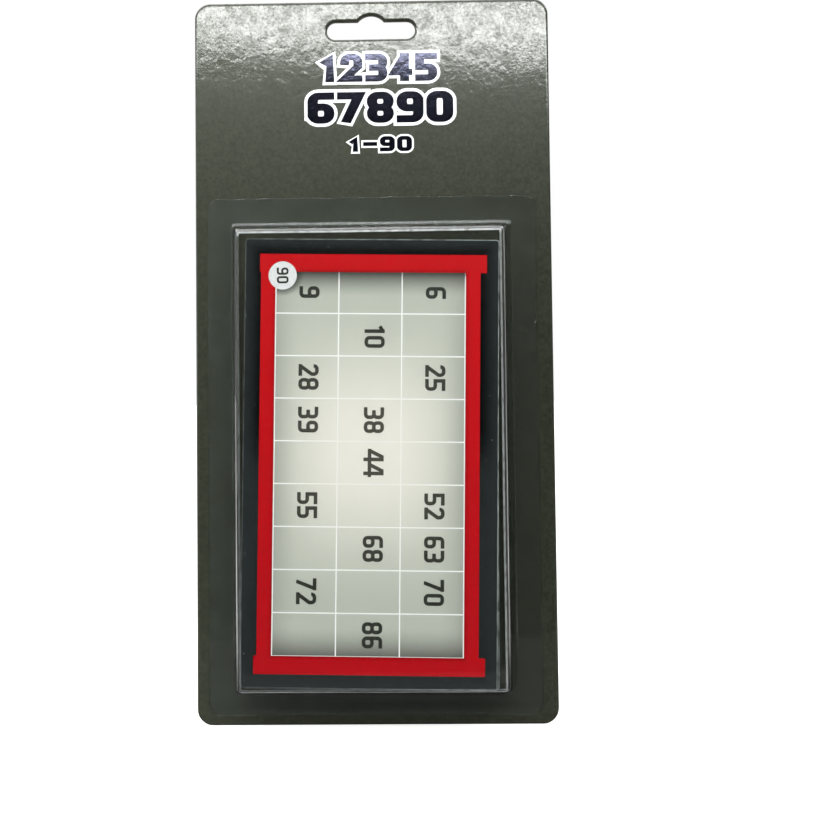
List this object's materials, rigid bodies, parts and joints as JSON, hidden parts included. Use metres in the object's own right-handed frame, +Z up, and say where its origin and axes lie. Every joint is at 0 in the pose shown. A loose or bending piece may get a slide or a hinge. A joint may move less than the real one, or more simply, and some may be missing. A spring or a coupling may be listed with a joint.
{
  "type": "bingo card pack",
  "caption": "Hanging retail pack of loose bingo cards: stiff backing card with a hang slot, clear formed blister sealed to its front, and a stack of thick printed number cards inside.",
  "frame": {"origin": "middle of the hang slot, on the back face of the backing card", "axes": "+X to the right as the printed front is looked at, +Y out of the back face, +Z up; the printed front faces -Y"},
  "size_m": [0.127, 0.024, 0.257],
  "materials": {
    "backing_card": "gloss laminate",
    "heat_seal_coat": "satin",
    "clear_sheet": "gloss",
    "card_board": "matte",
    "card_face": "satin",
    "red_ink": "satin",
    "cell_ink": "satin",
    "number_ink": "satin"
  },
  "bodies": {
    "backing": {"backing_card": "backing_card", "heat_seal_coat": "heat_seal_coat"},
    "blister": {"blister_shell": "clear_sheet"},
    "card_01": {"bingo_card_01_board": "card_board", "bingo_card_01_face_sheet": "card_face"},
    "card_02": {"bingo_card_02_board": "card_board", "bingo_card_02_face_sheet": "card_face"},
    "card_03": {"bingo_card_03_board": "card_board", "bingo_card_03_face_sheet": "card_face"},
    "card_04": {"bingo_card_04_board": "card_board", "bingo_card_04_face_sheet": "card_face"},
    "card_05": {"bingo_card_05_board": "card_board", "bingo_card_05_face_sheet": "card_face"},
    "card_06": {"bingo_card_06_board": "card_board", "bingo_card_06_face_sheet": "card_face"},
    "card_07": {"bingo_card_07_board": "card_board", "bingo_card_07_face_sheet": "card_face"},
    "card_08": {"bingo_card_08_board": "card_board", "bingo_card_08_face_sheet": "card_face"},
    "card_09": {"bingo_card_09_board": "card_board", "bingo_card_09_face_sheet": "card_face"},
    "card_10": {"bingo_card_10_board": "card_board", "bingo_card_10_face_sheet": "card_face"},
    "card_11": {"bingo_card_11_board": "card_board", "bingo_card_11_face_sheet": "card_face"},
    "card_12": {"bingo_card_12_board": "card_board", "bingo_card_12_face_sheet": "card_face", "bingo_card_12_red_frame": "red_ink", "bingo_card_12_number_cells": "cell_ink", "bingo_card_12_numbers": "number_ink"}
  },
  "joints": [
    {"name": "blister_lift", "type": "slide", "parent": "backing", "child": "blister", "axis": [0, -1, 0], "range_m": [0, 0.13]},
    {"name": "card_01_lift", "type": "slide", "parent": "backing", "child": "card_01", "axis": [0, -1, 0], "range_m": [0, 0.01]},
    {"name": "card_02_lift", "type": "slide", "parent": "backing", "child": "card_02", "axis": [0, -1, 0], "range_m": [0, 0.02]},
    {"name": "card_03_lift", "type": "slide", "parent": "backing", "child": "card_03", "axis": [0, -1, 0], "range_m": [0, 0.03]},
    {"name": "card_04_lift", "type": "slide", "parent": "backing", "child": "card_04", "axis": [0, -1, 0], "range_m": [0, 0.04]},
    {"name": "card_05_lift", "type": "slide", "parent": "backing", "child": "card_05", "axis": [0, -1, 0], "range_m": [0, 0.05]},
    {"name": "card_06_lift", "type": "slide", "parent": "backing", "child": "card_06", "axis": [0, -1, 0], "range_m": [0, 0.06]},
    {"name": "card_07_lift", "type": "slide", "parent": "backing", "child": "card_07", "axis": [0, -1, 0], "range_m": [0, 0.07]},
    {"name": "card_08_lift", "type": "slide", "parent": "backing", "child": "card_08", "axis": [0, -1, 0], "range_m": [0, 0.08]},
    {"name": "card_09_lift", "type": "slide", "parent": "backing", "child": "card_09", "axis": [0, -1, 0], "range_m": [0, 0.09]},
    {"name": "card_10_lift", "type": "slide", "parent": "backing", "child": "card_10", "axis": [0, -1, 0], "range_m": [0, 0.1]},
    {"name": "card_11_lift", "type": "slide", "parent": "backing", "child": "card_11", "axis": [0, -1, 0], "range_m": [0, 0.11]},
    {"name": "card_12_lift", "type": "slide", "parent": "backing", "child": "card_12", "axis": [0, -1, 0], "range_m": [0, 0.12]}
  ],
  "couplings": [
    {"joint": "card_01_lift", "follows": "blister_lift", "ratio": 0.076923},
    {"joint": "card_02_lift", "follows": "blister_lift", "ratio": 0.15385},
    {"joint": "card_03_lift", "follows": "blister_lift", "ratio": 0.23077},
    {"joint": "card_04_lift", "follows": "blister_lift", "ratio": 0.30769},
    {"joint": "card_05_lift", "follows": "blister_lift", "ratio": 0.38461},
    {"joint": "card_06_lift", "follows": "blister_lift", "ratio": 0.46154},
    {"joint": "card_07_lift", "follows": "blister_lift", "ratio": 0.53846},
    {"joint": "card_08_lift", "follows": "blister_lift", "ratio": 0.61538},
    {"joint": "card_09_lift", "follows": "blister_lift", "ratio": 0.69231},
    {"joint": "card_10_lift", "follows": "blister_lift", "ratio": 0.76923},
    {"joint": "card_11_lift", "follows": "blister_lift", "ratio": 0.84615},
    {"joint": "card_12_lift", "follows": "blister_lift", "ratio": 0.92308}
  ]
}
